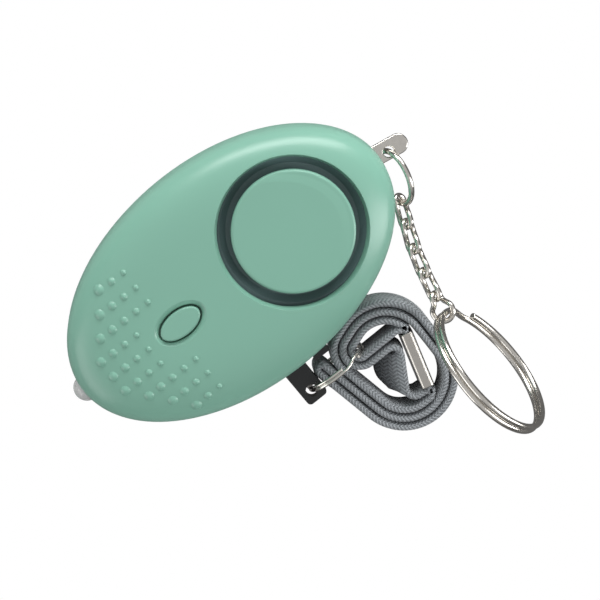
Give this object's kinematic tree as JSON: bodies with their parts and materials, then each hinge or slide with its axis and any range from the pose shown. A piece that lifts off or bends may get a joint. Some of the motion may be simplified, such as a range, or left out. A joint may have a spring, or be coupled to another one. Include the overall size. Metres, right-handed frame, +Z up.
{
  "type": "personal safety alarm",
  "caption": "Keyring safety alarm with an elliptical plastic case, round sounder cap, lamp and lamp button, pull pin on a wrist strap, and a short chain with a split key ring.",
  "frame": {"origin": "middle of the case's flat back face", "axes": "+X along the case from the lamp to the key lug, +Y across the case away from the pull pin, +Z up through the sounder"},
  "size_m": [0.0761, 0.078, 0.0266],
  "materials": {
    "shell_mint": "satin",
    "screw_steel": "plain",
    "dark_plastic": "satin",
    "gasket_rubber": "matt",
    "piezo_brass": "plain",
    "piezo_silver": "matt",
    "wire_red": "gloss",
    "switch_black": "matt",
    "lamp_clear": "clear gloss",
    "tinned_lead": "bright",
    "board_green": "satin",
    "cell_steel": "bright",
    "contact_metal": "bright",
    "chip_black": "matt",
    "coil_ferrite": "matt",
    "coil_copper": "enamelled",
    "pin_black": "satin",
    "ring_nickel": "bright",
    "strap_braid": "braided",
    "crimp_steel": "satin"
  },
  "bodies": {
    "case": {"front_cover": "shell_mint", "rear_cover": "shell_mint", "case_screws": "screw_steel", "sound_ring": "dark_plastic", "speaker_cap": "shell_mint", "piezo_gasket": "gasket_rubber", "piezo_plate": "piezo_brass", "piezo_ceramic": "piezo_silver", "piezo_wires": "wire_red", "button_switch": "switch_black", "led_lamp": "lamp_clear", "led_leads": "tinned_lead", "circuit_board": "board_green", "button_cells": "cell_steel", "cell_contacts": "contact_metal", "pin_contacts": "contact_metal", "driver_chip": "chip_black", "boost_coil": "coil_ferrite", "coil_winding": "coil_copper", "transistor": "chip_black", "key_lug": "ring_nickel"},
    "button": {"led_button": "shell_mint", "switch_plunger": "switch_black"},
    "pin": {"pull_pin": "pin_black", "pin_ring": "ring_nickel", "wrist_strap": "strap_braid", "strap_crimp": "crimp_steel"},
    "lug_ring": {"jump_ring": "ring_nickel"},
    "link_1": {"chain_link_1": "ring_nickel"},
    "link_2": {"chain_link_2": "ring_nickel"},
    "link_3": {"chain_link_3": "ring_nickel"},
    "link_4": {"chain_link_4": "ring_nickel"},
    "link_5": {"end_link": "ring_nickel"},
    "keys": {"key_ring": "ring_nickel"}
  },
  "joints": [
    {"name": "button_press", "type": "slide", "parent": "case", "child": "button", "axis": [0, 0, -1], "range_m": [0, 0.0008], "stiffness_N_per_m": 600},
    {"name": "pin_pull", "type": "slide", "parent": "case", "child": "pin", "axis": [0, -1, 0], "range_m": [0, 0.014]},
    {"name": "lug_ring_swing", "type": "hinge", "parent": "case", "child": "lug_ring", "pos_m": [0.03585, -0.0011, 0.0086], "axis": [0, 0, 1], "range_deg": [0, 60]},
    {"name": "link_1_turn", "type": "hinge", "parent": "lug_ring", "child": "link_1", "pos_m": [0.03202, -0.00954, 0.00584], "axis": [0, 0, 1], "range_deg": [0, 10]},
    {"name": "link_2_turn", "type": "hinge", "parent": "link_1", "child": "link_2", "pos_m": [0.03025, -0.01388, 0.0067], "axis": [0, 0, 1], "range_deg": [0, 10]},
    {"name": "link_3_turn", "type": "hinge", "parent": "link_2", "child": "link_3", "pos_m": [0.02848, -0.01821, 0.00756], "axis": [0, 0, 1], "range_deg": [0, 10]},
    {"name": "link_4_turn", "type": "hinge", "parent": "link_3", "child": "link_4", "pos_m": [0.02717, -0.0227, 0.00842], "axis": [0, 0, 1], "range_deg": [0, 10]},
    {"name": "link_5_turn", "type": "hinge", "parent": "link_4", "child": "link_5", "pos_m": [0.02613, -0.02727, 0.00928], "axis": [0, 0, 1], "range_deg": [0, 10]},
    {"name": "key_ring_roll", "type": "hinge", "parent": "link_5", "child": "keys", "pos_m": [0.02534, -0.0307, 0.00992], "axis": [0.0136, -0.9617, 0.2738], "range_deg": [0, 6]}
  ]
}
